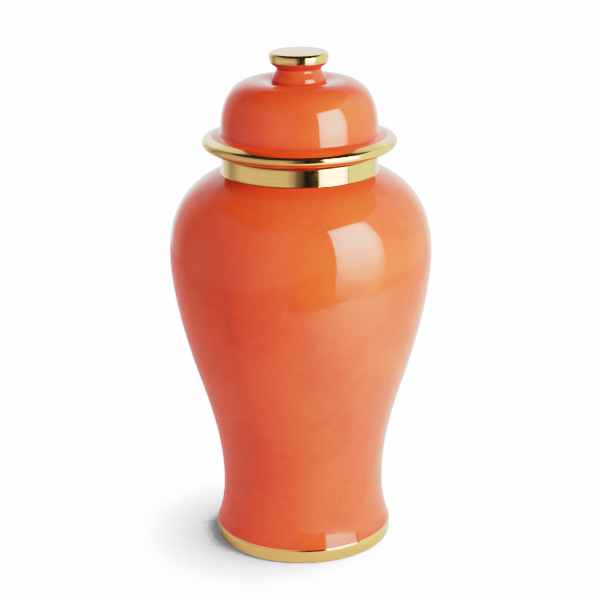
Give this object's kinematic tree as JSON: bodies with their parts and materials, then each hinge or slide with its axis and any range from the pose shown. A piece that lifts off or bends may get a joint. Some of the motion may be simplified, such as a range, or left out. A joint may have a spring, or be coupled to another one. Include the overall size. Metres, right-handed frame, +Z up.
{
  "type": "ginger jar",
  "caption": "Lidded ginger jar with a narrow foot, swelling belly and domed lift-off lid with a waisted knob, glazed orange with gold bands.",
  "frame": {"origin": "centre of the foot, on the plane that the jar stands on", "axes": "+Z up along the jar's turning axis, towards the knob; the shape is the same all round, so +X is only the viewer's right"},
  "size_m": [0.205, 0.205, 0.394],
  "materials": {
    "orange_glaze": "smooth, high-gloss orange glaze",
    "gold_lustre": "fired gold lustre over glaze, mirror-bright",
    "bare_stoneware": "unglazed, matt and fine-grained"
  },
  "bodies": {
    "jar": {"jar_body": "orange_glaze", "foot_band": "gold_lustre", "neck_band": "gold_lustre"},
    "lid": {"lid_shell": "orange_glaze", "lid_locating_ring": "bare_stoneware", "lid_rim_band": "gold_lustre", "knob_stem": "orange_glaze", "knob_cap": "gold_lustre"}
  },
  "joints": [
    {"name": "lid_lift", "type": "slide", "parent": "jar", "child": "lid", "axis": [0, 0, 1], "range_m": [0, 0.12]}
  ]
}
